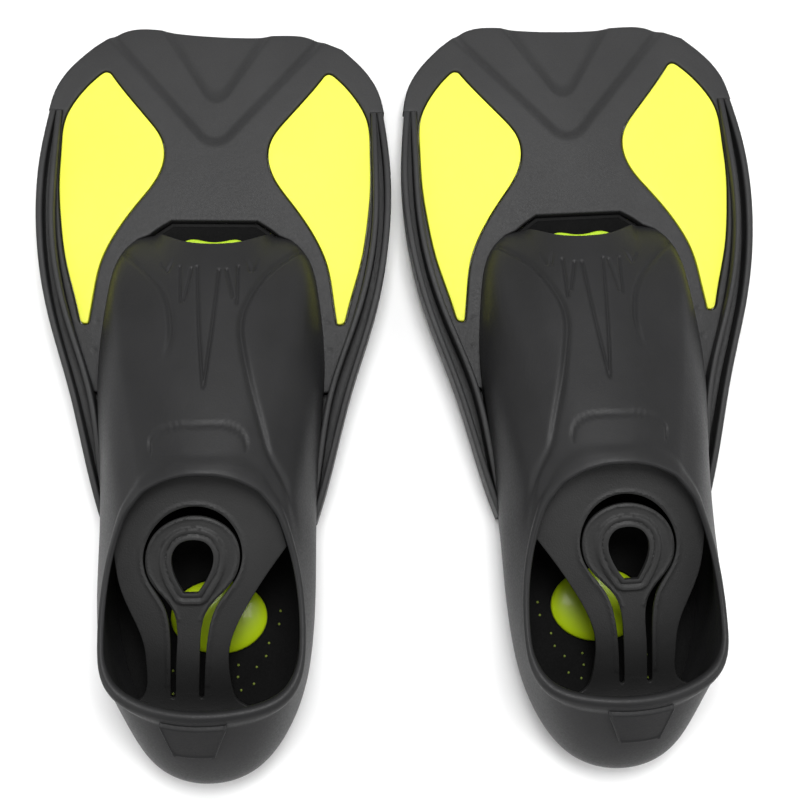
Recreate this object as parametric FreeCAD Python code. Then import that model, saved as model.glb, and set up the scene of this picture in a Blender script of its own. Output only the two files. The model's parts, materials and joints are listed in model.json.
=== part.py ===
import FreeCAD, Part
import math
import os
from FreeCAD import Placement, Rotation, Vector

# A pair of short full-foot swim fins lying flat, blades towards +Y, soles down on Z = 0.
# Every fin is drawn in its own coordinates: x across the fin, y from the back of the heel
# towards the blade tip, z up. Millimetres throughout.

# ---- driving dimensions ------------------------------------------------------------------
FIN_SPACING = 211.4         # between the two fins' centre lines, measured at the heels
FIN_AHEAD = 6.2             # the right fin lies this far ahead of the left one
TOE_IN = 3.13               # degrees that the right fin is turned towards the left one

# Side view of the sole: flat under the heel, then a long shallow arch down to the tip
FLAT_END = 75.0
ARCH_START = 150.0
RISE_RADIUS = 686.0
ARCH_RADIUS = 1012.0

# Heights above the sole line
OUTSOLE_TOP = 4.6
CORE_BOTTOM = 2.0
FOOTBED_TOP = 6.4
WINDOW_BOTTOM = 1.4
WINDOW_TOP = 8.0
FRAME_BOTTOM = 0.8
FRAME_TOP = 8.5
PAD_TOP = 8.2
RAIL_BOTTOM = 0.5
RAIL_WEB_TOP = 4.6
RIB_HEIGHTS = [(360, 8.6), (330, 12.5), (300, 14.3), (200, 17.0), (130, 17.0)]

# Plan of the blade, right-hand side first where it is symmetric
TIP = [(56.5, 396.7), (48, 400.8), (39.5, 401.8), (20, 401.2), (-2, 401.5), (-22, 403.1),
       (-38, 404.8), (-46, 404.6), (-53, 402.6), (-60.5, 397.5)]
SHOULDER = [(68, 391.8), (80.3, 379), (88.4, 364.5), (91, 353)]
RAIL_EDGE = [(90.3, 353), (93.8, 322), (93.8, 288), (85.2, 236), (73.4, 197), (58.3, 138)]
RAIL_WIDTHS = [6.6, 9.3, 9.6, 11.0, 12.0, 6.6]
OUTER_RIB = 3.4
INNER_RIB = 3.1
CORE_SHOULDER = [(66, 378), (78, 368)]
CORE_FOOT_SIDE = [(44.5, 110), (42, 72), (34, 34), (18, 15)]
CORE_TO_RAIL = 0.3          # sideways gap between the lime core and the rails
CORE_TIP = 388.0
CORE_HEEL = 11.0
WINDOW_OUTER = [(60.4, 376.8), (67.5, 371), (76.3, 359.5), (81.6, 348), (83.1, 330),
                (83.3, 312), (81.6, 290), (78, 267), (72.2, 245.5), (67.3, 232.8)]
WINDOW_INNER = [(67.3, 232.8), (64, 246), (59.7, 267.5), (54.8, 279), (40.6, 301),
                (32.6, 312.5), (28.3, 325), (29.6, 336), (37, 347.5), (46.3, 359),
                (55.5, 371), (60.4, 376.8)]
WINDOW_GROOVE = 0.6
PINS = [(60.5, 234), (61.7, 219), (40, 290)]   # the frame's two skins meet here
PIN_RADIUS = 2.5
SLOT = [(-34.5, 282.4), (-23, 289.8), (23, 289.8), (34.5, 282.4), (34.5, 262), (-34.5, 262)]

# Foot pocket: half loops from the middle of the heel to the middle of the toe, right side.
# The base loop's heights follow the sole; the others are true heights.
BASE_LOOP = [(0, 5), (22, 10), (38, 28), (48, 64), (53, 115), (55.8, 165), (59, 215),
             (53, 262), (36.5, 282), (0, 287.5)]
WALL_LOOPS = [
    [(0, -6, 16), (25, 2.5, 16), (43.5, 29, 17), (53, 66, 18), (55.5, 115, 19),
     (57, 163, 22), (59, 212, 27), (50.5, 256, 32), (30, 279.5, 31), (0, 284.5, 30)],
    [(0, -0.5, 32), (25, 7.5, 32), (44.5, 31.5, 31), (53.5, 68, 31), (55, 110, 32), (54, 152, 38),
     (51, 191, 45), (40, 226, 47), (24, 256.5, 42), (0, 266.5, 40)],
    [(0, 15, 47), (26, 20, 47), (44.5, 38, 45), (52, 71, 44), (51.5, 107, 45), (47.5, 137, 53),
     (41.5, 164, 59), (30, 187, 62), (17, 202, 60), (0, 209, 58)],
    [(0, 30, 61), (26.5, 32.5, 59.5), (44, 41, 57.5), (50.5, 66, 55), (48, 101, 57),
     (41, 123, 64), (32, 136, 70), (20, 143.5, 74.5), (9.5, 146, 76.5), (0, 146.3, 77)],
]
RIM_LEVEL = 90.0            # the heel's shift fades out towards this height
WALL = 3.6
HEEL_SHIFT = 3.0            # the heel sits this far towards the inner side of the foot
HEEL_SHIFT_REACH = 150.0
TOE_ARCH = [(-34, 13), (-29, 22), (-13, 34), (0, 37.5), (13, 34), (29, 22), (34, 13)]
TOE_ARCH_FOOT = -5.0        # height of its flat bottom
TOE_ARCH_FROM, TOE_ARCH_TO = 310.0, 255.0
HEEL_TAB = [(-17, 34), (-14, 22), (-8.5, 17), (8.5, 17), (14, 22), (17, 34)]
HEEL_TAB_PROUD = 1.6
HEEL_TAB_LOW, HEEL_TAB_HIGH = 38.0, 57.0
HEEL_TAB_OFFSET = -2.0      # towards the outer side of the foot

# Heel button under the heel and pad under the toes
BUTTON_AT = (5.0, 80.5)
BUTTON_RINGS = [(25.5, 19.0, 2.5), (25.0, 18.5, 7.0), (20.0, 14.0, 10.2), (9.0, 6.0, 11.2)]
PAD = [(-27, 228), (27, 228), (27, 276), (16, 285), (-16, 285), (-27, 276)]

# Moulded plate that keeps the pocket in shape, with its hang loop
INSERT_SIDE = -5.2          # its middle, towards the outer side of the foot, at INSERT_LEVEL
INSERT_LEVEL = 110.0
INSERT_LEAN = 0.065         # sideways drift of the middle for each millimetre along the fin
INSERT_PATH = [(150, 65.5), (84, 40), (58, 28), (46, 19.5), (36, 12.5), (26, 9.3)]
INSERT_THICKNESS = 2.2
INSERT_TO_RIM = 1.0         # clearance to the pocket's mouth all round
LEG = [(43, 107), (35.3, 95), (25.6, 76), (21.2, 64), (20.6, 53), (21.6, 44.5), (24.4, 38.5),
       (31, 36)]
LEG_FOOT = 20.0             # the plan runs past the mouth at both ends, which trims it
LEG_HEAD = 160.0
LOOP_SLOT = [(8.3, 41), (8.8, 60), (9.6, 71), (13.2, 84), (22.1, 97.6), (24.3, 107.5),
             (21.5, 118), (13, 127.5), (0, 131.3)]
LOOP = [(5.8, 42), (5.8, 60), (5.9, 73), (7.4, 80.8), (12.2, 87.5), (19.5, 97), (21.3, 108),
        (18.5, 117), (10.5, 124), (0, 126.6)]
LOOP_HOLE = [(3.5, 90.4), (6.9, 95.7), (10, 103.4), (10, 109), (6.2, 114.3), (0, 115.7)]
LOOP_HINGE = (42.6, 17.1)
LOOP_KNUCKLE = 1.9
LOOP_CLEARANCE = 0.5

# Where the blade flexes: a line across the fin just ahead of the toes
FLEX_Y = 308.0
FLEX_LIFT = 4.5             # above the sole line
FLEX_RADIUS = 13.0
FLEX_GAP = 0.3

FAR = 200.0                 # beyond the object, for cutting shapes
SKY = 140.0                 # above it
BELOW_BASE = 4.0            # the pocket's surface starts under its base loop
INSIDE_BELOW, INSIDE_ABOVE = 9.0, 12.0
FOOTBED_INSET = 0.6         # further in than the wall
TOE_SCALE, TOE_BACK = 0.97, 0.3


# ---- sole line ---------------------------------------------------------------------------
def sole_z(y):
    if y <= FLAT_END:
        return 0.0
    if y <= ARCH_START:
        return RISE_RADIUS - math.sqrt(RISE_RADIUS ** 2 - (y - FLAT_END) ** 2)
    slope = math.asin((ARCH_START - FLAT_END) / RISE_RADIUS)
    centre_y = ARCH_START + ARCH_RADIUS * math.sin(slope)
    centre_z = sole_z(ARCH_START) - ARCH_RADIUS * math.cos(slope)
    return centre_z + math.sqrt(ARCH_RADIUS ** 2 - (y - centre_y) ** 2)


def sole_edges(lift, start=-10.0, end=420.0):
    def at(y):
        return Vector(0, y, sole_z(y) + lift)

    middle = (ARCH_START + end) / 2
    rise = (FLAT_END + ARCH_START) / 2
    return [Part.LineSegment(at(start), at(FLAT_END)).toShape(),
            Part.Arc(at(FLAT_END), at(rise), at(ARCH_START)).toShape(),
            Part.Arc(at(ARCH_START), at(middle), at(end)).toShape()]


def side_solid(edges):
    wire = Part.Wire(Part.__sortEdges__(edges))
    face = Part.Face(wire)
    face.translate(Vector(-FAR, 0, 0))
    return face.extrude(Vector(2 * FAR, 0, 0))


def layer(low, high):
    """Everything between two heights above the sole line."""
    bottom = sole_edges(low)
    top = sole_edges(high)
    ends = [Part.LineSegment(bottom[0].Vertexes[0].Point, top[0].Vertexes[0].Point).toShape(),
            Part.LineSegment(bottom[-1].Vertexes[-1].Point, top[-1].Vertexes[-1].Point).toShape()]
    return side_solid(bottom + top + ends)


def rib_layer():
    """The ribs' side view: they rise from the blade's shoulder towards the foot."""
    bottom = sole_edges(RAIL_WEB_TOP - 2.0)
    points = [Vector(0, y, sole_z(y) + lift) for y, lift in reversed(RIB_HEIGHTS)]
    crest = Part.BSplineCurve()
    crest.interpolate(points)
    start = bottom[0].Vertexes[0].Point
    end = bottom[-1].Vertexes[-1].Point
    top_start = Vector(0, start.y, points[0].z)
    top_end = Vector(0, end.y, points[-1].z)
    lines = [Part.LineSegment(a, b).toShape() for a, b in
             ((start, top_start), (top_start, points[0]), (points[-1], top_end), (top_end, end))]
    return side_solid(bottom + [crest.toShape()] + lines)


# ---- plan outlines -----------------------------------------------------------------------
def mirrored(points):
    return [(-p[0],) + tuple(p[1:]) for p in reversed(points)]


def outline(*runs):
    """A flat face inside runs of points: two points are a straight edge, more are a curve."""
    edges = []
    for run in runs:
        points = [Vector(x, y, 0) for x, y in run]
        if len(points) == 2:
            edges.append(Part.LineSegment(*points).toShape())
        else:
            curve = Part.BSplineCurve()
            curve.interpolate(points)
            edges.append(curve.toShape())
    return Part.Face(Part.Wire(edges))


def polygon(points):
    return Part.Face(Part.makePolygon([Vector(x, y, 0) for x, y in points + points[:1]]))


def prism(face, low=-20.0, high=150.0):
    tall = face.copy()
    tall.translate(Vector(0, 0, low))
    return tall.extrude(Vector(0, 0, high - low))


def plate(face, low, high):
    return prism(face).common(layer(low, high))


def shifted(points, dx):
    return [(x + dx, y) for x, y in points]


# ---- foot pocket surfaces ----------------------------------------------------------------
def heel_shift(y, inner):
    return inner * HEEL_SHIFT * max(0.0, 1.0 - y / HEEL_SHIFT_REACH) ** 2


def full_loop(half, inner):
    """A closed loop from the heel round the right side to the toe and back by the left."""
    left = [(-x, y, z) for x, y, z in reversed(half[1:-1])]
    ring = half + left
    fade = [max(0.0, 1.0 - z / RIM_LEVEL) for x, y, z in ring]
    return [Vector(p[0] + heel_shift(p[1], inner) * f, p[1], p[2]) for p, f in zip(ring, fade)]


def pocket_net(inner):
    base = [(x, y, sole_z(y) + OUTSOLE_TOP) for x, y in BASE_LOOP]
    return [full_loop(half, inner) for half in [base] + WALL_LOOPS]


def wall_direction(net, row, column):
    """Outward direction at one point of the net."""
    count = len(net[0])
    across = net[row][(column + 1) % count] - net[row][(column - 1) % count]
    up = net[min(row + 1, len(net) - 1)][column] - net[max(row - 1, 0)][column]
    direction = across.cross(up)
    return direction.normalize()


def pocket_inside(net, depth):
    """The net moved inwards by the wall's thickness."""
    return [[net[row][c] - wall_direction(net, row, c) * depth for c in range(len(net[0]))]
            for row in range(len(net))]


def extended(net, below, above):
    """The net with one more loop under its base and, if asked, one past its rim."""
    foot = [p - Vector(0, 0, below) for p in net[0]]
    rows = [foot] + net
    if above:
        beyond = []
        for last, before in zip(net[-1], net[-2]):
            beyond.append(last + (last - before).normalize() * above)
        rows.append(beyond)
    return rows


def loop_curve(loop):
    """The evenly spaced closed curve through one loop of the net."""
    curve = Part.BSplineCurve()
    steps = [float(i) for i in range(len(loop) + 1)]
    curve.interpolate(Points=loop, PeriodicFlag=True, Parameters=steps)
    return curve


def closed_solid(net):
    """Solid inside a net of closed loops, with ruled lids at its bottom and top."""
    curves = [loop_curve(loop) for loop in net]
    rows = [curve.getPoles() for curve in curves]
    poles = [[row[c] for row in rows] for c in range(len(rows[0]))]
    spans = len(net) - 3
    surface = Part.BSplineSurface()
    surface.buildFromPolesMultsKnots(
        poles, curves[0].getMultiplicities(), [4] + [1] * (spans - 1) + [4],
        curves[0].getKnots(), [float(i) for i in range(spans + 1)], True, False, 3, 3)
    half = len(net[0]) / 2.0
    u0, u1, v0, v1 = surface.bounds()
    right = surface.copy()
    right.segment(u0, u0 + half, v0, v1)
    left = surface.copy()
    left.segment(u0 + half, u1, v0, v1)
    faces = [right.toShape(), left.toShape()]
    for v in (v0, v1):
        far_side = left.vIso(v)
        far_side.reverse()
        faces.append(Part.makeRuledSurface(right.vIso(v).toShape(), far_side.toShape()))
    skin = Part.makeCompound(faces)
    skin.sewShape(1e-4)
    solid = Part.Solid(Part.Shell(skin.Faces))
    if solid.Volume < 0:
        solid.reverse()
    return solid


def loop_plan(loop, inset=0.0):
    """Plan inside one loop of the net, moved inwards by an even amount."""
    count = len(loop)
    points = []
    for i, point in enumerate(loop):
        along = loop[(i + 1) % count] - loop[(i - 1) % count]
        along.z = 0
        outward = along.cross(Vector(0, 0, 1)).normalize()
        moved = point - outward * inset
        points.append(Vector(moved.x, moved.y, 0))
    curve = Part.BSplineCurve()
    curve.interpolate(points, PeriodicFlag=True)
    return Part.Face(Part.Wire([curve.toShape()]))


# ---- blade -------------------------------------------------------------------------------
def window_face(side, grow=0.0):
    face = outline(WINDOW_OUTER, WINDOW_INNER)
    if side < 0:
        face = face.mirror(Vector(0, 0, 0), Vector(1, 0, 0))
    if grow:
        centre = face.BoundBox.Center
        size = min(face.BoundBox.XLength, face.BoundBox.YLength)
        face = face.copy()
        face.scale(1 + 2 * grow / size, centre)
    return face


def rail_inner_edge():
    return [(x - w, y) for (x, y), w in zip(RAIL_EDGE, RAIL_WIDTHS)]


def core_blade():
    along_rail = shifted(rail_inner_edge(), -CORE_TO_RAIL)
    side = outline([(0, CORE_TIP), CORE_SHOULDER[0]], CORE_SHOULDER + along_rail[:1], along_rail,
                   along_rail[-1:] + CORE_FOOT_SIDE, [CORE_FOOT_SIDE[-1], (0, CORE_HEEL)],
                   [(0, CORE_HEEL), (0, CORE_TIP)])
    other = side.mirror(Vector(0, 0, 0), Vector(1, 0, 0))
    core = plate(side, CORE_BOTTOM, OUTSOLE_TOP).fuse(plate(other, CORE_BOTTOM, OUTSOLE_TOP))
    core = core.removeSplitter()
    for hand in (1, -1):
        core = core.fuse(plate(window_face(hand), WINDOW_BOTTOM, WINDOW_TOP))
        for x, y in PINS:
            pin = Part.makeCylinder(PIN_RADIUS, 40.0, Vector(hand * x, y, -10))
            core = core.cut(pin)
    return core


def heel_button(inner):
    rings = []
    for a, b, z in BUTTON_RINGS:
        centre = Vector(inner * BUTTON_AT[0], BUTTON_AT[1], z)
        rings.append(Part.Wire([Part.Ellipse(centre, a, b).toShape()]))
    return Part.makeLoft(rings, True, False)


def strip(edge_a, edge_b):
    """Plan of the band between two edges that run the same way."""
    back = list(reversed(edge_b))
    return outline(edge_a, [edge_a[-1], back[0]], back, [back[-1], edge_a[0]])


def on_side(shape, side):
    return shape if side > 0 else shape.mirror(Vector(0, 0, 0), Vector(1, 0, 0))


def rail_plan(side):
    return on_side(strip(RAIL_EDGE, rail_inner_edge()), side)


def rail(side):
    inner_edge = rail_inner_edge()
    web = plate(strip(RAIL_EDGE, inner_edge), RAIL_BOTTOM, RAIL_WEB_TOP)
    ribs = rib_layer()
    outer_rib = prism(strip(RAIL_EDGE, shifted(RAIL_EDGE, -OUTER_RIB))).common(ribs)
    inner_rib = prism(strip(shifted(inner_edge, INNER_RIB), inner_edge)).common(ribs)
    return on_side(web.fuse([outer_rib, inner_rib]).removeSplitter(), side)


def frame_plan():
    inner_edge = rail_inner_edge()
    corner = inner_edge[0]
    tail = inner_edge[-2]
    right = [SHOULDER[:], [SHOULDER[-1], corner], inner_edge[:-1]]
    left = [mirrored(run) for run in reversed(right)]
    return outline(TIP[::-1], [TIP[0], SHOULDER[0]], *right,
                   [tail, (-tail[0], tail[1])], *left, [(-SHOULDER[0][0], SHOULDER[0][1]), TIP[-1]])


def blade_frame(core, foot, outside):
    frame = plate(frame_plan(), FRAME_BOTTOM, FRAME_TOP)
    cutters = [prism(foot), prism(polygon(SLOT)), core, outside]
    for side in (1, -1):
        cutters += [prism(window_face(side, WINDOW_GROOVE)), prism(rail_plan(side))]
    for cutter in cutters:
        frame = frame.cut(cutter)
    return frame


# ---- plate with the hang loop ------------------------------------------------------------
def thick_path(path, thickness):
    """Side view of a bent plate: the path is its upper side."""
    lower = []
    for i, (y, z) in enumerate(path):
        before = path[max(i - 1, 0)]
        after = path[min(i + 1, len(path) - 1)]
        legs = []
        for a, b in ((before, (y, z)), ((y, z), after)):
            length = math.hypot(b[0] - a[0], b[1] - a[1])
            if length:
                legs.append(((b[1] - a[1]) / length, -(b[0] - a[0]) / length))
        ny = sum(n[0] for n in legs)
        nz = sum(n[1] for n in legs)
        scale = thickness / ((ny * legs[0][0] + nz * legs[0][1]))
        lower.append((y - ny * scale, z - nz * scale))
    points = [Vector(0, y, z) for y, z in path + lower[::-1] + path[:1]]
    face = Part.Face(Part.makePolygon(points))
    face.translate(Vector(-FAR, 0, 0))
    return face.extrude(Vector(2 * FAR, 0, 0))


def insert_middle(y, inner):
    return inner * (INSERT_SIDE + INSERT_LEAN * (y - INSERT_LEVEL))


def centred(points, inner):
    """A run that is symmetric about the plate's leaning middle, from its right-hand half."""
    right = [(insert_middle(y, inner) + x, y) for x, y in points]
    left = [(insert_middle(y, inner) - x, y) for x, y in reversed(points) if x > 0]
    return right + left


def loop_face(half, inner):
    run = centred(half, inner)
    return outline(run, [run[-1], run[0]])


def insert_face(inner):
    legs = centred(LEG, inner)
    right, left = legs[:len(LEG)], legs[len(LEG):]
    corners = [(right[0][0], LEG_HEAD), (left[-1][0], LEG_HEAD), (left[0][0], LEG_FOOT),
               (right[-1][0], LEG_FOOT)]
    return outline([right[0], corners[0]], corners[:2], [corners[1], left[-1]], left[::-1],
                   [left[0], corners[2]], corners[2:], [corners[3], right[-1]], right[::-1])


def insert_and_loop(inner, mouth):
    body = thick_path(INSERT_PATH, INSERT_THICKNESS)
    slot = prism(loop_face(LOOP_SLOT, inner))
    width = 2 * LOOP[0][0]
    start = insert_middle(LOOP_HINGE[0], inner) - width / 2
    hinge = Vector(start, LOOP_HINGE[0], LOOP_HINGE[1] - INSERT_THICKNESS / 2)
    knuckle = Part.makeCylinder(LOOP_KNUCKLE, width, hinge, Vector(1, 0, 0))
    room = Part.makeCylinder(LOOP_KNUCKLE + LOOP_CLEARANCE, width + 2 * LOOP_CLEARANCE,
                             hinge - Vector(LOOP_CLEARANCE, 0, 0), Vector(1, 0, 0))
    insert = body.common(prism(insert_face(inner))).common(prism(mouth)).cut(slot).cut(room)
    loop = body.common(prism(loop_face(LOOP, inner))).fuse(knuckle)
    hole = prism(loop_face(LOOP_HOLE, inner))
    return insert, loop.cut(hole).removeSplitter()


# ---- one fin -----------------------------------------------------------------------------
def flex_tool(radius):
    """Everything ahead of the flex line, with a round root about it."""
    z = sole_z(FLEX_Y) + FLEX_LIFT
    ahead = Part.makeBox(2 * FAR, FAR, 2 * FAR, Vector(-FAR, FLEX_Y, -FAR))
    root = Part.makeCylinder(radius, 2 * FAR, Vector(-FAR, FLEX_Y, z), Vector(1, 0, 0))
    return ahead.fuse(root)


def fin(inner):
    """All pieces of one fin by name; inner is +1 where the other foot is on the +x side."""
    net = pocket_net(inner)
    foot = loop_plan(net[0])
    outside = closed_solid(extended(net, BELOW_BASE, 0))
    inside = closed_solid(extended(pocket_inside(net, WALL), INSIDE_BELOW, INSIDE_ABOVE))
    above_sole = layer(OUTSOLE_TOP, SKY)

    pad = plate(polygon(PAD), CORE_BOTTOM, PAD_TOP)
    core = core_blade().fuse([heel_button(inner), pad]).removeSplitter()
    outsole = plate(foot, 0.0, OUTSOLE_TOP).fuse(plate(polygon(SLOT), 0.0, OUTSOLE_TOP))
    outsole = outsole.removeSplitter().cut(core)

    left_foot, right_foot = [(end[0], TOE_ARCH_FOOT) for end in (TOE_ARCH[0], TOE_ARCH[-1])]
    arch = outline(TOE_ARCH, [TOE_ARCH[-1], right_foot], [right_foot, left_foot],
                   [left_foot, TOE_ARCH[0]])
    arch.rotate(Vector(0, 0, 0), Vector(1, 0, 0), 90)
    arch.translate(Vector(0, TOE_ARCH_FROM, 0))
    tunnel = arch.extrude(Vector(0, TOE_ARCH_TO - TOE_ARCH_FROM, 0))
    pocket = outside.cut(inside).common(above_sole).cut(tunnel)

    inner_plan = loop_plan(net[0], WALL + FOOTBED_INSET)
    toe = polygon([(x * TOE_SCALE, y - TOE_BACK) for x, y in SLOT])
    footbed = plate(inner_plan, OUTSOLE_TOP, FOOTBED_TOP)
    footbed = footbed.fuse(plate(toe, OUTSOLE_TOP, FOOTBED_TOP)).removeSplitter()
    footbed = footbed.cut(core).cut(pocket)

    tab_plan = outline(HEEL_TAB[:2], HEEL_TAB[1:3], HEEL_TAB[2:4], HEEL_TAB[3:5], HEEL_TAB[4:],
                       [HEEL_TAB[-1], HEEL_TAB[0]])
    tab_plan.translate(Vector(HEEL_TAB_OFFSET * inner, 0, 0))
    proud = outside.copy()
    proud.translate(Vector(0, -HEEL_TAB_PROUD, 0))
    heel_tab = proud.common(prism(tab_plan, HEEL_TAB_LOW, HEEL_TAB_HIGH)).cut(outside)

    frame = blade_frame(core, foot, outside)
    rails = {side: rail(side).cut(prism(foot)).cut(outside) for side in (1, -1)}
    insert, loop = insert_and_loop(inner, loop_plan(net[-1], WALL + INSERT_TO_RIM))

    ahead = flex_tool(FLEX_RADIUS)
    gap = flex_tool(FLEX_RADIUS + FLEX_GAP)
    side_names = {1: "inner", -1: "outer"}
    pieces = {
        "foot_pocket": pocket,
        "heel_tab": heel_tab,
        "outsole": outsole.cut(gap),
        "footbed": footbed.cut(gap),
        "sole_core": core.cut(gap),
        "blade_core": core.common(ahead),
        "arch_frame": frame.cut(gap),
        "blade_frame": frame.common(ahead),
        "heel_insert": insert,
        "hang_loop": loop,
    }
    for side, whole in rails.items():
        name = side_names[side * inner]
        pieces[name + "_rail"] = whole.cut(gap)
        pieces[name + "_blade_rail"] = whole.common(ahead)
    return pieces


def solids_of(shape, least=5.0):
    """The piece without stray slivers."""
    kept = [solid for solid in shape.Solids if solid.Volume > least]
    return kept[0] if len(kept) == 1 else Part.makeCompound(kept)


def main():
    os.makedirs("parts", exist_ok=True)
    seats = {"left": (-FIN_SPACING / 2, 0.0, 0.0, 1),
             "right": (FIN_SPACING / 2, FIN_AHEAD, TOE_IN, -1)}
    nodes = {}
    for hand, (x, y, turn, inner) in seats.items():
        seat = Placement(Vector(x, y, 0), Rotation(Vector(0, 0, 1), turn))
        for name, shape in fin(inner).items():
            piece = solids_of(shape)
            piece.Placement = seat.multiply(piece.Placement)
            nodes[hand + "_" + name] = piece
    whole = FreeCAD.BoundBox()
    for piece in nodes.values():
        whole.add(piece.optimalBoundingBox(False))
    for name, piece in nodes.items():
        piece.translate(Vector(-whole.Center.x, -whole.Center.y, -whole.ZMin))
        print("%-24s %2d solids %9.0f mm3 valid %s" %
              (name, len(piece.Solids), piece.Volume, piece.isValid()))
        piece.exportStep("parts/" + name + ".step")
    print("pair", whole.XLength, whole.YLength, whole.ZLength, "moved by",
          -whole.Center.x, -whole.Center.y, -whole.ZMin)


main()
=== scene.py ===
import json
import math

import bpy
import numpy as np
from mathutils import Matrix, Vector
from mathutils.geometry import delaunay_2d_cdt
from mathutils.kdtree import KDTree


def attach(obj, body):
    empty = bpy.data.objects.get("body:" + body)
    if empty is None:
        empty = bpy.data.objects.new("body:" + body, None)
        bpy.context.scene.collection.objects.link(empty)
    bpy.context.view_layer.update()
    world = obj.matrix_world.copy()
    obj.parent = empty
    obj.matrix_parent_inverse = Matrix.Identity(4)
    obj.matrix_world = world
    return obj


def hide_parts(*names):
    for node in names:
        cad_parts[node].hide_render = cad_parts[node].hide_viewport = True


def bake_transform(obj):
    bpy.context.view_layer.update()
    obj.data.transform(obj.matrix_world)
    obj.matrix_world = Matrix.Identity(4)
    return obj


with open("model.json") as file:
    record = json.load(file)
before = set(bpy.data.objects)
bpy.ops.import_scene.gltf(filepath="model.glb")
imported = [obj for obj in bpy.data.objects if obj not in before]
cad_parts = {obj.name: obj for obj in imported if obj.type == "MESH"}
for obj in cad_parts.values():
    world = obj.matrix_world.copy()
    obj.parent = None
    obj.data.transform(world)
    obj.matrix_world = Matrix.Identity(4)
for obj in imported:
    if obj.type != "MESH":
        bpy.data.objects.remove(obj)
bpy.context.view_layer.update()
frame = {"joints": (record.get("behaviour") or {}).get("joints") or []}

# Each fin is shaped in its own coordinates, in millimetres: x across the fin, y from the back
# of the heel towards the blade tip, z up. A seat then puts it where the frame's joints say.
MM = 0.001

# ---- sizes shared with the frame ----
FLAT_END, ARCH_START = 75.0, 150.0
RISE_RADIUS, ARCH_RADIUS = 686.0, 1012.0
FLEX_Y, FLEX_LIFT = 308.0, 4.5
BEND_START, BEND_END = 289.0, 327.0

FRAME_BOTTOM, FRAME_TOP = 0.8, 8.5
WINDOW_BOTTOM, WINDOW_TOP = 1.4, 8.0
OUTSOLE_TOP, FOOTBED_TOP, PAD_TOP = 4.6, 6.4, 8.2

TIP = [(56.5, 396.7), (48, 400.8), (39.5, 401.8), (20, 401.2), (-2, 401.5), (-22, 403.1),
       (-38, 404.8), (-46, 404.6), (-53, 402.6), (-60.5, 397.5)]
SHOULDER = [(68, 391.8), (80.3, 379), (88.4, 364.5), (91, 353)]
RAIL_EDGE = [(90.3, 353), (93.8, 322), (93.8, 288), (85.2, 236), (73.4, 197), (58.3, 138)]
RAIL_WIDTHS = [6.6, 9.3, 9.6, 11.0, 12.0, 6.6]
RIB_HEIGHTS = [(360, 8.6), (330, 12.5), (300, 14.3), (200, 17.0), (130, 17.0)]
OUTER_RIB, INNER_RIB = 3.4, 3.1
WINDOW_OUTER = [(61.8, 376.6), (67.5, 371), (76.3, 359.5), (81.6, 348), (83.1, 330),
                (83.3, 312), (81.6, 290), (78, 267), (72.2, 245.5), (69.3, 233.4)]
WINDOW_INNER = [(65.6, 233.1), (63.7, 246), (59.7, 267.5), (54.8, 279), (40.6, 301),
                (32.6, 312.5), (28.3, 325), (29.6, 336), (37, 347.5), (46.3, 359),
                (55.5, 371), (59.2, 376.4)]
SLOT_EDGE = [(34.5, 281.6), (29.5, 285.6), (23, 289.8)]
PINS = [(60.5, 234), (61.7, 219)]

# Foot pocket: half loops, right side, from the middle of the heel to the middle of the toe lip.
# The first loop runs along the sole (heights above it) and then over the toe opening.
BASE_LOOP = [(0, 5, 4.6), (22, 10, 4.6), (38, 28, 4.6), (48, 64, 4.6), (53, 115, 4.6),
             (55.8, 165, 4.6), (59, 215, 4.6), (56, 250, 4.6), (48.5, 273.5, 4.6),
             (39.5, 281, 4.8), (31.5, 281.3, 7.5), (27.5, 280, 13.5), (15, 273.2, 23.7),
             (0, 270.6, 27.5)]
WALL_LOOPS = [
    [(0, -6, 16), (25, 2.5, 16), (43.5, 29, 17), (53, 66, 18), (55.5, 115, 19), (57, 163, 22),
     (59, 212, 27), (54.8, 245, 29), (48, 269, 27.5), (40, 277, 24.5), (32.5, 273.2, 29),
     (26.5, 266.5, 35), (14, 260.5, 40.5), (0, 258.5, 42.5)],
    [(0, -0.5, 32), (25, 7.5, 32), (44.5, 31.5, 31), (53.5, 68, 31), (55, 112, 32), (54, 152, 38),
     (53.5, 187, 43), (49.5, 218, 43.5), (45, 245, 39.5), (38.5, 254, 38), (31, 249.5, 41.5),
     (24, 241, 45.5), (12.5, 235, 49.5), (0, 233, 51)],
    [(0, 15, 47), (26, 20, 47), (44.5, 38, 45), (52, 71, 44), (50.5, 107, 45),
     (47.5, 135, 53), (43.5, 157, 58.5), (39, 175, 58.5), (34.5, 193, 57), (29, 204, 56.5),
     (24, 207, 57), (18.5, 203, 59), (10, 197, 61.5), (0, 195, 62.5)],
    [(0, 28.5, 61), (26, 31.5, 59.5), (43.5, 41, 57), (49.5, 66, 55), (46.8, 100, 57),
     (41, 120, 63), (36, 129.5, 66.8), (30.5, 136, 70), (25.5, 139.7, 72.3), (20, 142.2, 74),
     (15, 143.8, 75.3), (10, 144.8, 76.2), (5, 145.3, 76.8), (0, 145.4, 77)],
]
WALL = 3.6
HEEL_SHIFT, HEEL_SHIFT_REACH, HEEL_SHIFT_HEIGHT = 3.0, 150.0, 90.0
OUTER_TRIM, OUTER_TRIM_AT, OUTER_TRIM_SPAN = 2.8, 27.0, 15.0

BUTTON_AT, BUTTON_SIZE = (5.0, 80.5), (24.8, 19.0)

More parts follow.
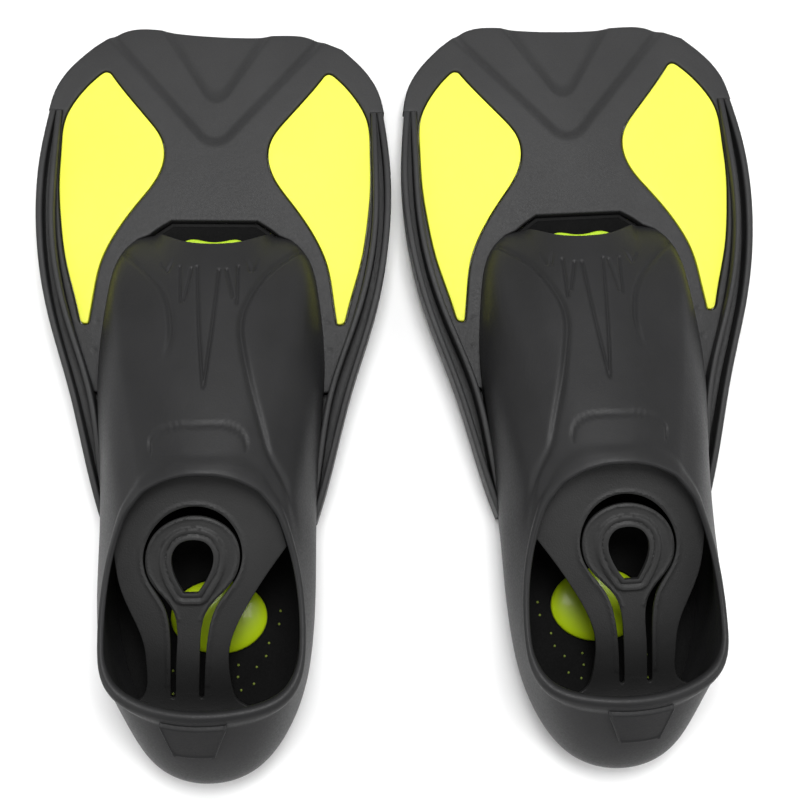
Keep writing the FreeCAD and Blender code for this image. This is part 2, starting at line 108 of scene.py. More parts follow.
# The shaping insert: its bent path in side view as (y, z), then its plan for a left foot.
# LOOP_ lists and the slit are halves on a middle line that leans by INSERT_LEAN.
INSERT_PATH = [(150, 65.5), (84, 40), (58, 28), (46, 19.5), (36, 12.5), (26, 9.6), (16, 9.0)]
INSERT_THICKNESS, INSERT_ROUND = 2.2, 0.4
INSERT_SIDE, INSERT_LEVEL, INSERT_LEAN = -5.2, 110.0, 0.065
PLATE_HEAD = [(41, 112.5), (38, 122), (32.5, 133), (24, 142), (12, 147.3), (-2, 148.8),
              (-16, 147.3), (-28, 142), (-36, 133), (-41, 122), (-44, 110)]
PLATE_LEFT_LEG = [(-44, 110), (-41, 92), (-35.3, 78.5), (-30.2, 64.9), (-29.3, 53.3),
                  (-29.9, 44.5), (-33, 38.9), (-39, 36.4)]
PLATE_FOOT = [(-39, 36.4), (-35, 29.5), (-27, 24), (-14, 20.5), (0, 20), (12, 21), (23, 25.5),
              (30, 32.5)]
PLATE_RIGHT_LEG = [(30, 32.5), (20, 35.2), (15.3, 38.3), (13.0, 44.3), (11.9, 53.1),
                   (12.1, 62.8), (16, 74.5), (23, 87), (30, 97.6), (41, 112.5)]
LOOP_SLOT = [(8.5, 40.6), (8.8, 60), (9.6, 71), (13.2, 84), (22.1, 97.6), (24.3, 107.5),
             (21.5, 118), (13, 127.5), (0, 131.3)]
SLIT_END = [(5.9, 40.6), (6.2, 39.4), (7.2, 38.8), (8.2, 39.4), (8.5, 40.6)]
STEM_ROOT = 42.2
SLOT_BEAD = {"height": 0.7, "at": 1.4, "width": 0.8}        # bead along the plate's slot
TONGUE_BEAD = {"height": 0.7, "at": 1.3, "width": 0.6}      # bead along the tongue's edge
COLLAR_RISE, COLLAR_OUT, COLLAR_IN = 1.3, 6.6, 5.4          # raised collar round the hole
COLLAR_LINE = {"height": 1.0, "at": 2.8, "width": 0.6}      # groove in that collar
LOOP = [(5.8, 41.4), (5.8, 60), (6.0, 73), (8.0, 80.8), (13.4, 88), (21, 97.2), (23.2, 107.5),
        (20.2, 117), (11.5, 124.2), (0, 126.8)]
LOOP_HOLE = [(3.5, 90.4), (6.9, 95.7), (10, 103.4), (10, 109), (6.2, 114.3), (0, 115.7)]


# ---- the sole line and curves ----
def sole_z(y):
    """Height of the underside above the floor: flat heel, rise, long shallow arch."""
    y = np.asarray(y, float)
    slope = math.asin((ARCH_START - FLAT_END) / RISE_RADIUS)
    rise = RISE_RADIUS * (1 - math.cos(slope))
    centre_y = ARCH_START + ARCH_RADIUS * math.sin(slope)
    centre_z = rise - ARCH_RADIUS * math.cos(slope)
    low = RISE_RADIUS - np.sqrt(np.maximum(RISE_RADIUS ** 2 - (y - FLAT_END) ** 2, 0))
    high = centre_z + np.sqrt(np.maximum(ARCH_RADIUS ** 2 - (y - centre_y) ** 2, 0))
    return np.where(y <= FLAT_END, 0.0, np.where(y <= ARCH_START, low, high))


def above_sole(height):
    """A plate's top or bottom at one height above the sole line."""
    return lambda x, y: sole_z(y) + height


def cubic(points, at, knots=None, closed=False):
    """The cubic curve through points, read at parameters; knots default to chord length."""
    p = np.asarray(points, float)
    if closed:
        p = np.vstack([p, p[:1]])
    if knots is None:
        knots = np.r_[0, np.cumsum(np.linalg.norm(np.diff(p, axis=0), axis=1))]
    n = len(p)
    h = np.diff(knots)
    a = np.zeros((n, n))
    r = np.zeros_like(p)
    for i in range(1, n - 1):
        a[i, i - 1:i + 2] = h[i - 1], 2 * (h[i - 1] + h[i]), h[i]
        r[i] = 6 * ((p[i + 1] - p[i]) / h[i] - (p[i] - p[i - 1]) / h[i - 1])
    if closed:
        a[0, 0], a[0, 1], a[0, -2] = 2 * (h[0] + h[-1]), h[0], h[-1]
        r[0] = 6 * ((p[1] - p[0]) / h[0] - (p[0] - p[-2]) / h[-1])
        a[-1, 0], a[-1, -1] = 1, -1
    else:
        a[0, 0] = a[-1, -1] = 1
    m = np.linalg.solve(a, r)
    at = np.clip(np.asarray(at, float), knots[0], knots[-1])
    i = np.clip(np.searchsorted(knots, at, side="right") - 1, 0, n - 2)
    s, t = (at - knots[i])[:, None], (knots[i + 1] - at)[:, None]
    w = h[i][:, None]
    return (m[i] * t ** 3 + m[i + 1] * s ** 3) / (6 * w) + \
        (p[i] / w - m[i] * w / 6) * t + (p[i + 1] / w - m[i + 1] * w / 6) * s


def run(points, step=1.3):
    """Even points along a smooth run, or a straight one of two points, without its last."""
    p = np.asarray(points, float)
    length = np.linalg.norm(np.diff(p, axis=0), axis=1).sum()
    count = max(2, int(round(length / step)))
    if len(p) == 2:
        return p[0] + (p[1] - p[0]) * np.linspace(0, 1, count + 1)[:-1, None]
    return cubic(p, np.linspace(0, length, count + 1)[:-1])


def outline(*runs, step=1.3):
    """The points of a loop made of runs that each start where the one before ends."""
    return np.vstack([run(r, step) for r in runs])


def mirrored(points):
    """Plan points on the other side of the fin's middle, in reverse order."""
    return [(-x, y) for x, y in reversed(points)]


def line_read(points, y):
    """x of a run of (x, y) points at given y."""
    p = np.asarray(sorted(points, key=lambda q: q[1]), float)
    return cubic(p[:, :1], y, knots=p[:, 1])[:, 0]


def smoothstep(low, high, value):
    """A smooth ramp from 0 at low to 1 at high; low may be the greater of the two."""
    t = np.clip((value - low) / (high - low), 0, 1)
    return t * t * (3 - 2 * t)


# ---- meshes ----
class Mesh:
    """Points and faces of one piece, gathered part by part."""

    def __init__(self):
        self.points, self.faces, self.count = [], [], 0

    def add(self, points, faces):
        self.points.append(np.asarray(points, float))
        self.faces += [tuple(int(i) + self.count for i in face) for face in faces]
        self.count += len(points)

    def grid(self, points, closed=False):
        """A sheet of rows of points; closed joins each row's last point to its first."""
        rows, columns = points.shape[:2]
        faces = []
        last = columns if closed else columns - 1
        for r in range(rows - 1):
            for c in range(last):
                d = (c + 1) % columns
                faces.append((r * columns + c, r * columns + d,
                              (r + 1) * columns + d, (r + 1) * columns + c))
        self.add(points.reshape(-1, 3), faces)


def inside(points, loops):
    """Which points lie inside the loops, counting holes as outside."""
    hits = np.zeros(len(points), int)
    for loop in loops:
        a, b = loop, np.roll(loop, -1, axis=0)
        for i in range(0, len(points), 4000):
            x, y = points[i:i + 4000, 0][:, None], points[i:i + 4000, 1][:, None]
            crosses = (a[:, 1] > y) != (b[:, 1] > y)
            rise = np.where(b[:, 1] == a[:, 1], 1e-12, b[:, 1] - a[:, 1])
            at = a[:, 0] + (y - a[:, 1]) * (b[:, 0] - a[:, 0]) / rise
            hits[i:i + 4000] += (crosses & (x < at)).sum(1)
    return hits % 2 == 1


def inward(loop, loops):
    """Unit normals of a loop that point into the material between the loops."""
    along = np.roll(loop, -1, axis=0) - np.roll(loop, 1, axis=0)
    normal = np.c_[-along[:, 1], along[:, 0]]
    normal /= np.linalg.norm(normal, axis=1)[:, None] + 1e-12
    test = inside(loop + normal * 0.05, loops)
    if test.mean() < 0.5:
        normal = -normal
    return normal


def nearest(loop):
    """A function that gives plan points' distances from a loop."""
    tree = KDTree(len(loop))
    for i, (x, y) in enumerate(loop):
        tree.insert((x, y, 0), i)
    tree.balance()
    return lambda x, y: np.array([tree.find((a, b, 0))[2] for a, b in zip(x, y)])


RING_ANGLES = (22, 45, 68, 90)      # degrees round a plate's rounded edge
RING_SLACK = 0.97                   # a ring point closer to the border than this is dropped
ROW_STEP, GRID_GAP = 0.87, 0.45     # shares of the spacing between inner points


def plate(loops, top, bottom, radius, spacing, place=None):
    """A piece inside closed loops, its top and bottom heights given by functions of (x, y),
    with its edges rounded above and below. place turns (x, y, z) into a final position."""
    loops = [np.asarray(loop, float) for loop in loops]
    border = np.vstack(loops)
    from_border = nearest(border)
    points, drops = [border], [np.ones(len(border))]
    for angle in RING_ANGLES:
        share = 1 - math.cos(math.radians(angle))
        drop = 1 - math.sin(math.radians(angle))
        for loop in loops:
            ring = loop + inward(loop, loops) * radius * share
            ring = ring[from_border(*ring.T) > radius * share * RING_SLACK - 1e-9]
            ring = ring[inside(ring, loops)] if len(ring) else ring
            points.append(ring)
            drops.append(np.full(len(ring), drop))
    low, high = border.min(0), border.max(0)
    gx, gy = np.meshgrid(np.arange(low[0] + spacing / 2, high[0], spacing),
                         np.arange(low[1] + spacing / 2, high[1], spacing * ROW_STEP))
    gx = gx + (np.arange(gx.shape[0]) % 2)[:, None] * spacing / 2
    grid = np.c_[gx.ravel(), gy.ravel()]
    grid = grid[inside(grid, loops)]
    grid = grid[from_border(*grid.T) > radius + spacing * GRID_GAP]
    points.append(grid)
    drops.append(np.zeros(len(grid)))
    flat, drop = np.vstack(points), np.concatenate(drops)
    edges, start = [], 0
    for loop in loops:
        n = len(loop)
        edges += [(start + i, start + (i + 1) % n) for i in range(n)]
        start += n
    found = delaunay_2d_cdt([Vector(p) for p in flat], edges, [], 1, 1e-5, True)
    source = np.array([o[0] if o else -1 for o in found[3]])
    flat = np.array([tuple(p) for p in found[0]])
    drop = np.where(source < 0, 1.0, drop[source])
    faces = np.array(found[2])
    faces = faces[inside(flat[faces].mean(1), loops)]
    a, b, c = (flat[faces[:, i]] for i in range(3))
    turn = (b[:, 0] - a[:, 0]) * (c[:, 1] - a[:, 1]) - (b[:, 1] - a[:, 1]) * (c[:, 0] - a[:, 0])
    faces[turn < 0] = faces[turn < 0][:, ::-1]
    upper = top(flat[:, 0], flat[:, 1]) - drop * radius
    lower = bottom(flat[:, 0], flat[:, 1]) + drop * radius
    place = place or (lambda x, y, z: np.c_[x, y, z])
    mesh = Mesh()
    n = len(flat)
    ends = np.r_[faces, faces[:, ::-1] + n]
    spot = {int(s): i for i, s in enumerate(source)}
    sides = {(int(face[i]), int(face[(i + 1) % 3])) for face in faces for i in range(3)}
    walls = []
    for i, j in edges:
        i, j = spot[i], spot[j]
        if (i, j) not in sides:
            i, j = j, i
        walls.append((j, i, i + n, j + n))
    solid = np.r_[place(flat[:, 0], flat[:, 1], upper), place(flat[:, 0], flat[:, 1], lower)]
    mesh.add(solid, [tuple(f) for f in ends] + walls)
    return mesh


# ---- pieces in the frame ----
class Seat:
    """Where one fin lies, read from its blade joint; inner is +1 when the other foot is at +x."""

    def __init__(self, hand):
        joint = next(j for j in frame["joints"] if j["name"] == hand + "_blade_flex")
        self.hand = hand
        self.inner = 1 if hand == "left" else -1
        self.across = np.array(joint["axis"], float)
        self.along = np.array([-self.across[1], self.across[0], 0])
        lift = float(sole_z(FLEX_Y)) + FLEX_LIFT
        self.origin = np.array(joint["pos_m"]) - self.along * FLEX_Y * MM - (0, 0, lift * MM)

    def world(self, points):
        p = np.asarray(points, float) * MM
        return self.origin + p[:, :1] * self.across + p[:, 1:2] * self.along + \
            p[:, 2:] * np.array([0, 0, 1.0])


def piece(mesh, name, seat, material, nodes, body=None, sharp=42):
    """Makes a Blender object of a mesh, gives it its material and hides the frame's parts it
    stands for: with a body it rides on that body, without one it stays fixed where it lies."""
    data = bpy.data.meshes.new(seat.hand + "_" + name)
    data.from_pydata(seat.world(np.vstack(mesh.points)).tolist(), [], mesh.faces)
    data.validate()
    data.update()
    data.polygons.foreach_set("use_smooth", [True] * len(data.polygons))
    data.set_sharp_from_angle(angle=math.radians(sharp))
    data.materials.append(material)
    made = bpy.data.objects.new(data.name, data)
    bpy.context.scene.collection.objects.link(made)
    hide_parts(*[seat.hand + "_" + node for node in nodes])
    if body:
        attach(made, seat.hand + "_" + body)
    else:
        ends = seat.world([(0, BEND_START, 0), (0, BEND_END, 0)])
        tuple(ends[0])
        tuple(ends[1])
        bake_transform(made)
    return made


# ---- materials ----
class Nodes:
    """A small helper for building a Principled material."""

    def __init__(self, name):
        self.material = bpy.data.materials.new(name)
        self.material.use_nodes = True
        self.tree = self.material.node_tree
        self.shader = self.tree.nodes["Principled BSDF"]
        self.place = self.add("ShaderNodeTexCoord").outputs["Object"]

    def add(self, kind, **values):
        node = self.tree.nodes.new(kind)
        for key, value in values.items():
            if hasattr(node, key):
                setattr(node, key, value)
            else:
                node.inputs[key].default_value = value
        return node

    def link(self, out, target):
        self.tree.links.new(out, target)

    def noise(self, scale, detail=3.0, rough=0.55):
        node = self.add("ShaderNodeTexNoise", Scale=scale, Detail=detail, Roughness=rough)
        self.link(self.place, node.inputs["Vector"])
        return node.outputs["Fac"]

    def spread(self, value, low, high, out_low, out_high):
        node = self.add("ShaderNodeMapRange")
        self.link(value, node.inputs["Value"])
        for key, number in (("From Min", low), ("From Max", high),
                            ("To Min", out_low), ("To Max", out_high)):
            node.inputs[key].default_value = number
        return node.outputs["Result"]

    def mix(self, factor, first, second):
        node = self.add("ShaderNodeMix", data_type="RGBA")
        self.link(factor, node.inputs["Factor"])
        for socket, colour in ((node.inputs[6], first), (node.inputs[7], second)):
            if isinstance(colour, tuple):
                socket.default_value = (*colour, 1)
            else:
                self.link(colour, socket)
        return node.outputs[2]

    def bump(self, height, strength, distance, before=None):
        node = self.add("ShaderNodeBump", Strength=strength, Distance=distance)
        self.link(height, node.inputs["Height"])
        if before:
            self.link(before, node.inputs["Normal"])
        return node.outputs["Normal"]


def rubber(name, dark, light, rough, grain, grain_depth, shine=0.35):
    """Black moulded rubber: patchy tone, fine mould grain, slightly uneven gloss."""
    n = Nodes(name)
    patches = n.noise(22.0, 4.0)
    tone = n.mix(n.spread(patches, 0.35, 0.65, 0, 1), dark, light)
    n.link(tone, n.shader.inputs["Base Color"])
    specks = n.noise(900.0, 2.0)
    n.link(n.spread(specks, 0.3, 0.7, rough - 0.06, rough + 0.06), n.shader.inputs["Roughness"])
    fine = n.bump(n.noise(grain, 2.0, 0.6), 0.5, grain_depth)
    coarse = n.bump(n.noise(70.0, 3.0), 0.25, 0.0006, fine)
    n.link(coarse, n.shader.inputs["Normal"])
    n.shader.inputs["Specular IOR Level"].default_value = shine
    return n.material


def lime(name, colour, deep, rough, coat):
    """Lime thermoplastic, faintly translucent, with flow marks under a smooth surface."""
    n = Nodes(name)
    flow = n.spread(n.noise(14.0, 2.0), 0.3, 0.7, 0, 1)
    n.link(n.mix(flow, colour, deep), n.shader.inputs["Base Color"])
    n.shader.inputs["Roughness"].default_value = rough
    n.shader.inputs["Coat Weight"].default_value = coat
    n.shader.inputs["Coat Roughness"].default_value = 0.06
    n.shader.inputs["Specular IOR Level"].default_value = 0.22
    n.shader.inputs["Subsurface Weight"].default_value = 0.15
    n.shader.inputs["Subsurface Radius"].default_value = (0.9, 1.0, 0.15)
    n.shader.inputs["Subsurface Scale"].default_value = 0.003
    n.link(n.bump(n.noise(260.0, 2.0), 0.12, 0.0002), n.shader.inputs["Normal"])
    return n.material


def make_materials():
    return {
        "frame": rubber("frame_rubber", (0.019, 0.019, 0.0195), (0.024, 0.024, 0.0245),
                        0.58, 1500.0, 0.0002, 0.34),
        "pocket": rubber("pocket_rubber", (0.011, 0.011, 0.0115), (0.015, 0.015, 0.0155),
                         0.50, 1100.0, 0.00012, 0.28),
        "tab": rubber("tab_rubber", (0.011, 0.011, 0.0115), (0.014, 0.014, 0.0145),
                      0.56, 1200.0, 0.0002, 0.24),
        "sole": rubber("sole_rubber", (0.006, 0.006, 0.006), (0.010, 0.010, 0.010),
                       0.70, 1000.0, 0.0003, 0.10),
        # footbed: its own black rubber, set darker still as painted shade for the hollow inside
        # the pocket
        "footbed": rubber("footbed_rubber", (0.003, 0.003, 0.003), (0.005, 0.005, 0.005),
                          0.7, 700.0, 0.0004, 0.06),
        "insert": rubber("insert_plastic", (0.016, 0.016, 0.016), (0.022, 0.022, 0.022),
                         0.54, 1200.0, 0.0004, 0.32),
        "lime": lime("lime_window", (0.90, 0.93, 0.095), (0.87, 0.91, 0.085), 0.50, 0.0),
        "pad": lime("lime_pad", (0.48, 0.70, 0.03), (0.44, 0.66, 0.025), 0.45, 0.0),
        # dots: the lime core's colour in a much darker copy, painted shade for the dots down in
        # the pocket's hollow
        "dots": lime("lime_dots_painted_shade", (0.16, 0.20, 0.02), (0.10, 0.14, 0.02), 0.5, 0.0),
        "button": lime("lime_button", (0.46, 0.62, 0.008), (0.40, 0.56, 0.006), 0.34, 0.1),
    }


# ---- blade ----
V_CENTRE = -1.0
OUTER_V = {"angle": math.radians(40.3), "tip": 325.5, "rounding": 15.0}
INNER_V = {"angle": math.radians(31.0), "tip": 352.5, "rounding": 13.0}
OUTER_V_BAND, OUTER_V_DEPTH = 6.2, 3.3
INNER_V_REACH, INNER_V_DEPTH = 6.5, 2.3
PIN_DEPTH, PIN_CORE, PIN_EDGE = 0.5, 0.5, 1.5
WINDOW_LAP = 0.7            # the frame's openings are this much wider than the panes


def v_depth(x, y, angle, tip, rounding):
    """Distance inside a V that opens towards the blade tip, with a rounded point."""
    across, up = math.cos(angle), math.sin(angle)
    left = (x - V_CENTRE) * across + (y - tip) * up
    right = -(x - V_CENTRE) * across + (y - tip) * up
    corner = (left < rounding) & (right < rounding)
    round_in = rounding - np.hypot(rounding - left, rounding - right)
    return np.where(corner, round_in, np.minimum(left, right))


def frame_top(x, y):
    """Height of the frame's face, with the two steps of the V relief and the pin marks."""
    step = OUTER_V_DEPTH * smoothstep(-0.4, OUTER_V_BAND, v_depth(x, y, **OUTER_V))
    t = np.clip(v_depth(x, y, **INNER_V) / INNER_V_REACH, 0, 1)
    dish = INNER_V_DEPTH * (1 - (1 - t) ** 2)
    pins = np.zeros_like(x)
    for px, py in PINS:
        away = np.hypot(np.abs(x) - px, y - py)
        pins += PIN_DEPTH * (1 - smoothstep(PIN_CORE, PIN_EDGE, away))
    return sole_z(y) + FRAME_TOP - step - dish - pins


def soften(loop, corner, reach=4.5, passes=8):
    """Rounds a loop's corner off by easing the points near it."""
    away = np.linalg.norm(loop - np.array(corner), axis=1)
    weight = (0.5 * (1 - smoothstep(reach * 0.5, reach, away)))[:, None]
    for _ in range(passes):
        middle = (np.roll(loop, 1, axis=0) + np.roll(loop, -1, axis=0)) / 2
        loop = loop + weight * (middle - loop)
    return loop


def window_loop(side, grow=0.0):
    """Outline of the window at one side, with its two sharp corners eased."""
    loop = outline(WINDOW_OUTER, [WINDOW_OUTER[-1], WINDOW_INNER[0]], WINDOW_INNER,
                   [WINDOW_INNER[-1], WINDOW_OUTER[0]], step=0.8)
    loop = soften(soften(loop, WINDOW_OUTER[0]), WINDOW_OUTER[-1])
    if grow:
        loop = loop - inward(loop, [loop]) * grow
    if side < 0:
        loop = loop * (-1, 1)
    return loop


def rail_inner_edge():
    """The side of the rail that faces the panel."""
    return [(x - w, y) for (x, y), w in zip(RAIL_EDGE, RAIL_WIDTHS)]


def frame_loops():
    """Outline of the charcoal frame: tip, shoulders, rails, tails, pocket edge and toe slot."""
    inner_edge = rail_inner_edge()[:-1]
    tail = inner_edge[-1]
    pocket = [(57.2, tail[1] - 1), (57.8, 215), (54.6, 250), (47.3, 272), (40.5, 279)]
    right = [SHOULDER, [SHOULDER[-1], inner_edge[0]], inner_edge,
             [tail, pocket[0]], pocket, [pocket[-1], SLOT_EDGE[0]], SLOT_EDGE]
    left = [mirrored(r) for r in reversed(right)]
    start = (-SHOULDER[0][0], SHOULDER[0][1])
    slot_front = [SLOT_EDGE[-1], (-SLOT_EDGE[-1][0], SLOT_EDGE[-1][1])]
    whole = outline([TIP[0], SHOULDER[0]], *right, slot_front, *left,
                    [start, TIP[-1]], TIP[::-1])
    return [whole, window_loop(1, WINDOW_LAP), window_loop(-1, WINDOW_LAP)]


def blade(seat, looks):
    """The charcoal frame and its two lime windows."""
    body = plate(frame_loops(), frame_top, above_sole(FRAME_BOTTOM), radius=0.9, spacing=1.25)
    piece(body, "frame", seat, looks["frame"], ["blade_frame", "arch_frame"])
    for side, name in ((1, "window_r"), (-1, "window_l")):
        pane = plate([window_loop(side)], above_sole(WINDOW_TOP), above_sole(WINDOW_BOTTOM),
                     radius=0.7, spacing=3.0)
        piece(pane, name, seat, looks["lime"], ["blade_core", "sole_core"])


# ---- rails ----
RAIL_FRONT, RAIL_FINE, RAIL_START = 356.5, 350.5, 349
RAIL_END, RAIL_STEP = 128.0, 1.6
TUCK_START, TUCK_END = 352.6, 353.6     # ahead of here the rail hides inside the frame
TUCK_IN, TUCK_DOWN = 0.8, 0.4
RAIL_FLOOR = 4.6                        # height of the groove's floor between the two ribs
FLOOR_RISE, FLOOR_UP, FLOOR_DOWN = 336, 353, 0.5
# Where the rail runs on behind its last edge point: (value, y) for edge, width and height
TAIL_EDGE, TAIL_WIDTH, TAIL_HEIGHT = (52.5, 120), (5.0, 120), (16.0, 110)
RIB_ROUND, RIB_STEPS = 1.1, 5
FLANGE = 4.5                            # a web that reaches from the rail to the pocket's side
FLANGE_START, FLANGE_FULL = 207, 199


def rib(edge_in, edge_out, height, bend):
    """The rounded top of one rib in section, as (inwards, up) points."""
    over = np.linspace(0, math.pi / 2, RIB_STEPS)
    up = [(edge_in + bend * (1 - math.cos(t)), height - bend * (1 - math.sin(t)))
          for t in over[1:]]
    down = [(edge_out - bend * (1 - math.cos(t)), height - bend * (1 - math.sin(t)))
            for t in np.linspace(math.pi / 2, 0, RIB_STEPS)]
    return up + down


def rail_section(w, h, floor, flange):
    """Section of a rail of width w and height h: outer rib, groove, inner rib and flange."""
    wo = OUTER_RIB
    groove = max(w - OUTER_RIB - INNER_RIB, 0.1)
    floor = min(floor, h - 0.2)
    bend = min(RIB_ROUND, (h - floor) * 0.6)
    foot = floor + min(0.4, (h - floor) * 0.2)
    middle = (h + floor) / 2
    return [(0.3, 0.5), (0, 1.0), (0, h - bend), *rib(0.0, wo, h, bend),
            (wo + 0.02, middle), (wo + 0.03, foot), (wo + groove * 0.12, floor),
            (wo + groove * 0.5, floor), (wo + groove * 0.88, floor),
            (wo + groove - 0.03, foot), (wo + groove - 0.02, middle),
            (wo + groove, h - bend), *rib(wo + groove, w, h, bend),
            (w, 3.0), (w + flange, 2.8), (w + flange, 1.0), (w + flange - 0.05, 0.5)]


def rail(seat, side, looks):
    """The double rail along one side of a fin, from the shoulder to the side of the pocket."""
    ys = np.r_[np.linspace(RAIL_FRONT, RAIL_FINE, 10), np.arange(RAIL_START, RAIL_END, -RAIL_STEP)]
    tucked = smoothstep(TUCK_START, TUCK_END, ys)
    outer = line_read(RAIL_EDGE + [TAIL_EDGE], ys) - TUCK_IN * tucked
    widths = [(w, y) for w, (x, y) in zip(RAIL_WIDTHS, RAIL_EDGE)]
    width = line_read(widths + [TAIL_WIDTH], ys)
    lift = line_read([(h, y) for y, h in RIB_HEIGHTS] + [TAIL_HEIGHT], ys)
    lift = lift - (lift - FRAME_TOP + TUCK_DOWN) * tucked
    flanges = 0.05 + FLANGE * smoothstep(FLANGE_START, FLANGE_FULL, ys)
    risen = smoothstep(FLOOR_RISE, FLOOR_UP, ys)
    floors = RAIL_FLOOR + (FRAME_TOP - FLOOR_DOWN - RAIL_FLOOR) * risen
    rows = []
    for x, w, h, y, floor, flange in zip(outer, width, lift, ys, floors, flanges):
        base = float(sole_z(y))
        rows.append([(side * (x - dx), y, base + dz)
                     for dx, dz in rail_section(w, h, floor, flange)])
    points = np.array(rows)
    if side > 0:
        points = points[:, ::-1]
    mesh = Mesh()
    mesh.grid(points, closed=True)
    n = points.shape[1]
    mesh.faces.append(tuple(range(n)))
    mesh.faces.append(tuple(mesh.count - n + i for i in reversed(range(n))))
    name = "inner" if side * seat.inner > 0 else "outer"
    piece(mesh, name + "_rails", seat, looks["frame"],
          [name + "_rail", name + "_blade_rail"])


# ---- foot pocket ----
def pocket_net(seat):
    """Closed loops of points that steer the pocket's outside: heel, right side, toe, left
    side. The low heel leans to the inner side and is flatter on the outer one."""
    half_base = [(x, y, float(sole_z(y)) + z) for x, y, z in BASE_LOOP]
    loops = []
    for half in [half_base] + WALL_LOOPS:
        ring = np.array(half + [(-x, y, z) for x, y, z in reversed(half[1:-1])], float)
        reach = np.maximum(0, 1 - ring[:, 1] / HEEL_SHIFT_REACH) ** 2
        height = np.maximum(0, 1 - ring[:, 2] / HEEL_SHIFT_HEIGHT)
        ring[:, 0] += seat.inner * HEEL_SHIFT * reach * height
        flat = np.exp(-((ring[:, 1] - OUTER_TRIM_AT) / OUTER_TRIM_SPAN) ** 2)
        ring[:, 0] += seat.inner * OUTER_TRIM * flat * (ring[:, 0] * seat.inner < 0)
        loops.append(ring)
    return np.array(loops)


def clamped_basis(rows, v):
    """Weights of a clamped cubic B-spline of so many rows at v from 0 to 1."""
    spans = rows - 3
    knots = np.r_[[0] * 3, np.arange(spans + 1), [spans] * 3].astype(float)
    t = np.clip(v * spans, 0, spans - 1e-9)
    basis = ((knots[:-1] <= t[:, None]) & (t[:, None] < knots[1:])).astype(float)
    for degree in (1, 2, 3):
        wide = np.zeros((len(t), len(knots) - degree - 1))
        for i in range(wide.shape[1]):
            a, b = knots[i + degree] - knots[i], knots[i + degree + 1] - knots[i + 1]
            if a:
                wide[:, i] += (t - knots[i]) / a * basis[:, i]
            if b:
                wide[:, i] += (knots[i + degree + 1] - t) / b * basis[:, i + 1]
        basis = wide
    return basis


def pocket_sheet(net, columns, v):
    """Points of the pocket's outside at columns (parameters round it) and heights v."""
    steps = np.linalg.norm(np.roll(net, -1, axis=1) - net, axis=2)
    knots = np.r_[0, np.cumsum((steps[0] + steps[1]) / 2)]
    rows = np.array([cubic(loop, columns(knots), knots=knots, closed=True) for loop in net])
    return np.einsum("vr,rcx->vcx", clamped_basis(len(net), v), rows)


FINE_SPAN, FINE_STEP, WIDE_STEP = 62.0, 0.5, 1.7


def pocket_columns(knots):
    """Fine steps round the toe, where the top is engraved, and wider ones elsewhere."""
    toe, total = knots[len(knots) // 2], knots[-1]
    first, last = toe - FINE_SPAN, toe + FINE_SPAN
    fine = np.arange(first, last, FINE_STEP)
    before = np.linspace(0, first, int(first / WIDE_STEP))[:-1]
    after = np.linspace(last, total, int((total - toe - FINE_SPAN) / WIDE_STEP))[:-1]
    return np.r_[before, fine, after]


def sheet_normals(points):
    """Outward normals of a sheet closed along its rows."""
    across = np.roll(points, -1, axis=1) - np.roll(points, 1, axis=1)
    up = np.gradient(points, axis=0)
    normal = np.cross(across, up)
    return normal / (np.linalg.norm(normal, axis=2)[..., None] + 1e-12)


def away_from(x, y, path):
    """Distance from plan points to an open smooth path."""
    line = np.vstack([run(path, 1.0), path[-1:]])
    best = np.full(x.shape, 1e9)
    for (ax, ay), (bx, by) in zip(line[:-1], line[1:]):
        dx, dy = bx - ax, by - ay
        t = np.clip(((x - ax) * dx + (y - ay) * dy) / (dx * dx + dy * dy + 1e-12), 0, 1)
        best = np.minimum(best, np.hypot(x - ax - t * dx, y - ay - t * dy))
    return best


FLUTES = [[(-6.5, 257.5), (-3.8, 218.8), (-0.8, 190.3)], [(4.7, 255.5), (2.3, 220.6), (-0.4, 191)],
          [(-15.5, 258), (-14.4, 237.2)], [(-9.3, 256.7), (-12.6, 238.1)],
          [(8.5, 255.8), (12.4, 240.2)], [(14.4, 258.2), (14.5, 236.3)],
          [(-25.7, 260.4), (-23.1, 256)], [(-19.1, 262.5), (-22.1, 255.3)],
          [(18.6, 263.2), (20.6, 256.2)], [(25, 263.3), (22.6, 256.3)]]
ARCH_LINE = [(-25.2, 157), (-25.7, 162.1), (-19.1, 167.9), (0.2, 169.9), (13.6, 169.4),
             (19.8, 165.1), (21.7, 159.4)]
OUTER_CREASE = [(-46.5, 269.5), (-33.3, 256), (-23.6, 243.5), (-19.2, 228.8),
                (-18.5, 217.1), (-21.3, 203.3)]
INNER_CREASE = [(45.5, 271.7), (31.8, 258.7), (21, 240.8), (17, 226.9), (18.5, 210.2),
                (22.6, 191.6), (29.3, 166.8), (32.8, 155.8), (38.3, 145.9), (42.7, 134.4),
                (47, 110.8)]
FLUTE_DEPTH, FLUTE_WIDTH = 0.85, 0.8
FLUTE_FADE, OUTER_FADE, INNER_FADE = (266, 256), (203, 222), (105, 165)     # along y
ARCH_DEPTH, ARCH_WIDTH = 0.8, 0.8
CREASE_DEPTH, CREASE_WIDTH = 1.2, 1.5
ENGRAVED_FROM, ENGRAVED_HALF = 105, 52


def cut_along(x, y, path, width):
    """1 along a path, falling off to its sides."""
    return np.exp(-(away_from(x, y, path) / width) ** 2)


def engraving(points, inner):
    """How deep the pocket's top is cut, by plan position, mirrored with the foot."""
    x, y = points[..., 0] * inner, points[..., 1]
    depth = np.zeros(x.shape)
    fade = smoothstep(*FLUTE_FADE, y)
    for path in FLUTES:
        depth = np.maximum(depth, FLUTE_DEPTH * fade * cut_along(x, y, path, FLUTE_WIDTH))
    depth = np.maximum(depth, ARCH_DEPTH * cut_along(x, y, ARCH_LINE, ARCH_WIDTH))
    for path, span in ((OUTER_CREASE, OUTER_FADE), (INNER_CREASE, INNER_FADE)):
        fade = smoothstep(*span, y)
        depth = np.maximum(depth, CREASE_DEPTH * fade * cut_along(x, y, path, CREASE_WIDTH))
    return depth


